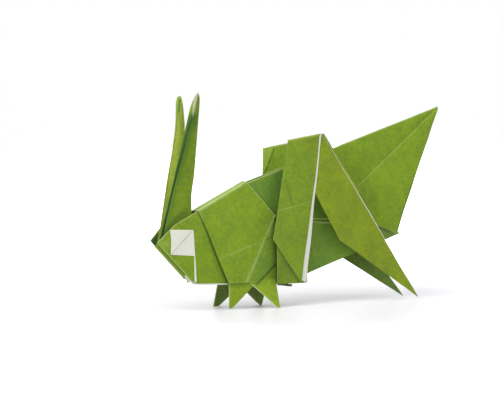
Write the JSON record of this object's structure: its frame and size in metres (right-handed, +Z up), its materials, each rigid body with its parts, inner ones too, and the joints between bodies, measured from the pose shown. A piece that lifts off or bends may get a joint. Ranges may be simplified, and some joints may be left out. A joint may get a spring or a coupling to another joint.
{
  "type": "origami katydid",
  "caption": "Long-legged bush insect folded from green and white paper, with upright antennae, roof-shaped wings and tall jumping legs.",
  "frame": {"origin": "centre of the bounding box on the floor", "axes": "+X towards the tail, +Y to the insect's right side, +Z up"},
  "size_m": [0.1034, 0.0212, 0.0658],
  "materials": {
    "paper": "matte, green face and white back"
  },
  "bodies": {
    "root": {"folded_sheet": "paper"}
  },
  "joints": []
}
